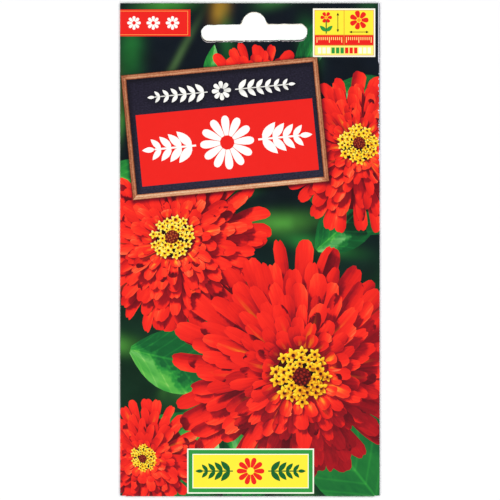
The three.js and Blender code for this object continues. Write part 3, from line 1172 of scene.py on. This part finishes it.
def leaf_colour(g):
    mottle = g.grain(4.0, 2.5, 90, 1.6, 4.0)
    rib = 1 - g.t.size().rise(0.0, 0.06)
    wave = ((g.s * 8.0 - g.t.size() * 2.2) * 2 * pi).sine()
    vein = (0.5 + 0.5 * wave) ** 14.0
    bright = g.light * (0.8 + 0.45 * (mottle - 0.5)) + g.tone + 0.07 * vein + 0.14 * rib
    shades = ((0.0, "030c0a"), (0.18, "0a2f1c"), (0.38, "14602e"))
    lights = ((0.6, "2c9038"), (0.8, "5cb447"), (1.0, "b4dc7c"))
    gloss = (g.shine * 0.5 * (0.6 + 0.8 * mottle)).rise(0.1, 0.9)
    return g.mix(gloss * 0.5, g.colours(bright, shades + lights), (*linear("c4e6c8"), 1))


def floret_colour(g):
    reach = (g.s * g.s + g.t * g.t) ** 0.5
    bright = g.light * (0.45 + 0.5 * reach + 0.5 * (g.grain(1, 1, 90, 2.0) - 0.4))
    stops = ((0.0, "3a0d08"), (0.22, "a8430c"), (0.45, "eda318"), (0.7, "fbdc2c"), (1.0, "fff59a"))
    return g.colours(bright, stops)


def disc_colour(g):
    bright = g.light * (0.2 + 0.7 * g.grain(1, 1, 90, 3.0, 3.0)) + 0.6 * g.tone
    return g.colours(bright, ((0.0, "180406"), (0.4, "4e0d10"), (0.75, "98231a"), (1.0, "e8a13a")))


def backdrop_colour(g):
    cloud = g.noise(g.join(g.u, g.v), 0.1)
    return g.times(g.ink, (0.4 + 1.1 * cloud) * g.light)


def flat_colour(g):
    cloud = g.noise(g.join(g.u, g.v), 0.6)
    return g.times(g.ink, (0.97 + 0.06 * cloud) * (0.4 + 0.6 * g.light))


def board_colour(g):
    dust = g.noise(g.join(g.u * 0.7, g.v), 2.4, 5.0)
    colour = g.colours(dust - 0.12 * g.t, ((0.2, "171420"), (0.5, "232030"), (0.8, "353144")))
    return g.times(colour, 0.2 + 0.8 * g.light)


def wood_colour(g):
    fibre = g.grain(40.0, 2.6, 90, detail=4.0)
    knot = g.grain(6.0, 1.2, 40)
    grit = g.grain(110.0, 5.0, 70)
    crown = g.t.rise(0.02, 0.3) * (1 - g.t.rise(0.7, 1.0))
    groove = g.t.rise(0.5, 0.62) * (1 - g.t.rise(0.62, 0.74))
    bright = g.tone + 0.3 * fibre + 0.25 * knot + 0.34 * crown - 0.25 * groove + 0.4 * (grit - 0.5)
    stops = ((0.0, "2e140c"), (0.25, "6b341d"), (0.5, "b06a48"), (0.75, "d69f78"), (1.0, "f4ddb8"))
    return g.colours(bright * (0.4 + 0.6 * g.light), stops)


def bare_colour(g):
    return g.times(g.ink, 0.94 + 0.1 * g.noise(g.join(g.u, g.v * 0.6), 2.5, 5.0))


INKS = {
    "bare": bare_colour,
    "flat_ink": flat_colour,
    "backdrop": backdrop_colour,
    "leaf": leaf_colour,
    "petal": petal_colour,
    "floret": floret_colour,
    "disc": disc_colour,
    "wood": wood_colour,
    "board": board_colour,
}
KINDS = list(INKS)


def print_material(kind):
    if kind == "bare":
        name, surface = "bare_paper", {"roughness": 0.72, "grain": 0.14}
    else:
        name, surface = "printed_" + kind, {"roughness": 0.22, "grain": 0.04}
    g = Print(name)
    g.coat(INKS[kind](g), **surface)
    return g.material


def solid_material(name, stops, scale, roughness):
    """For the seeds and the glue: mottled by place."""
    g = Graph(name)
    mottle = g.noise(g.node("TexCoord", {})["Object"], scale, 4.0)
    rough = roughness - 0.1 + 0.2 * mottle
    g.put(g.shader, {"Base Color": g.colours(mottle, stops), "Roughness": rough})
    return g.material


# ---- the pieces ----
def new_object(name, data):
    thing = bpy.data.objects.new(name, data)
    bpy.context.scene.collection.objects.link(thing)
    return thing


def make_packet():
    for draw in (picture, sign, tab, info_box, plaque, bare_margins, back_print):
        draw()
    mesh = packet_mesh()
    for kind in KINDS:
        mesh.materials.append(print_material(kind))
    packet = new_object("printed_packet", mesh)
    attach(packet, "root")
    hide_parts("paper")


def dress_inside():
    browns = ((0.3, "3b2d20"), (0.6, "75614a"), (0.9, "a5937a"))
    husk = solid_material("seed_husk", browns, 900, 0.85)
    glue = solid_material("dry_glue", ((0.3, "d8d2bf"), (0.8, "efe9d8")), 300, 0.5)
    for name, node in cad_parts.items():
        if name != "paper":
            node.data.materials.clear()
            node.data.materials.append(husk if name.startswith("seed_") else glue)


# ---- the stage ----
PICTURE_PIXELS = 500
PACKET_PIXELS = 259.7  # the packet's width in the picture
PIXEL = WIDTH / PACKET_PIXELS
VIEW = PICTURE_PIXELS * PIXEL * MM  # what the picture spans
LENS = 150
SENSOR = 36


def soft_light(name, turn, power):
    """A round lamp beside and above the packet, aimed at its middle."""
    lamp = bpy.data.lights.new(name, "AREA")
    lamp.shape = "DISK"
    lamp.size = 0.75
    lamp.energy = power
    place = Vector((*polar(1, radians(turn)), 1.24))
    thing = new_object(name, lamp)
    thing.location = place
    thing.rotation_euler = (-place).to_track_quat("-Z", "Y").to_euler()


def card(name, corners, depth, ink, glow):
    """A white card under the packet, which may glow a little."""
    mesh = bpy.data.meshes.new(name)
    mesh.from_pydata([(*corner, 0) for corner in corners], [], [(0, 1, 2, 3)])
    thing = new_object(name, mesh)
    thing.location.z = -depth
    g = Graph(name)
    g.put(g.shader, {"Base Color": (*linear(ink), 1), "Roughness": 0.9})
    g.put(g.shader, {"Emission Color": (1, 1, 1, 1), "Emission Strength": glow})
    mesh.materials.append(g.material)


def make_stage():
    scene = bpy.context.scene
    card("floor", rectangle(-3, 3, -3, 3), 0.00005, "f2f2f3", 0.0)
    # A card under the slot glows: painted light that fills the packet's shadow inside the slot
    low = TOP - SLOT_BELOW_TOP - 2
    high = low + SLOT_HEIGHT + SLOT_DOME + 4
    behind_slot = rectangle(SLOT_X - 18, SLOT_X + 18, low, high)
    card("slot_glow_card", np.array(behind_slot) * MM, 0.00002, "f9f9f9", 0.35)

    camera = bpy.data.cameras.new("camera")
    camera.lens = LENS
    camera.sensor_width = SENSOR
    scene.camera = new_object("camera", camera)
    distance = VIEW * LENS / SENSOR
    shift = 0.1 * PIXEL * MM
    scene.camera.location = (shift, -shift, distance + FRONT_OUT * MM)

    scene.world = bpy.data.worlds.new("studio")
    scene.world.use_nodes = True
    background = scene.world.node_tree.nodes["Background"].inputs
    background["Color"].default_value = (1, 1, 1, 1)
    background["Strength"].default_value = 0.07
    for values in (("back", 118, 7.8), ("left", 205, 9.1), ("front", 290, 11), ("right", 25, 8.7)):
        soft_light(*values)
    scene.view_settings.view_transform = "Standard"


make_packet()
dress_inside()
make_stage()
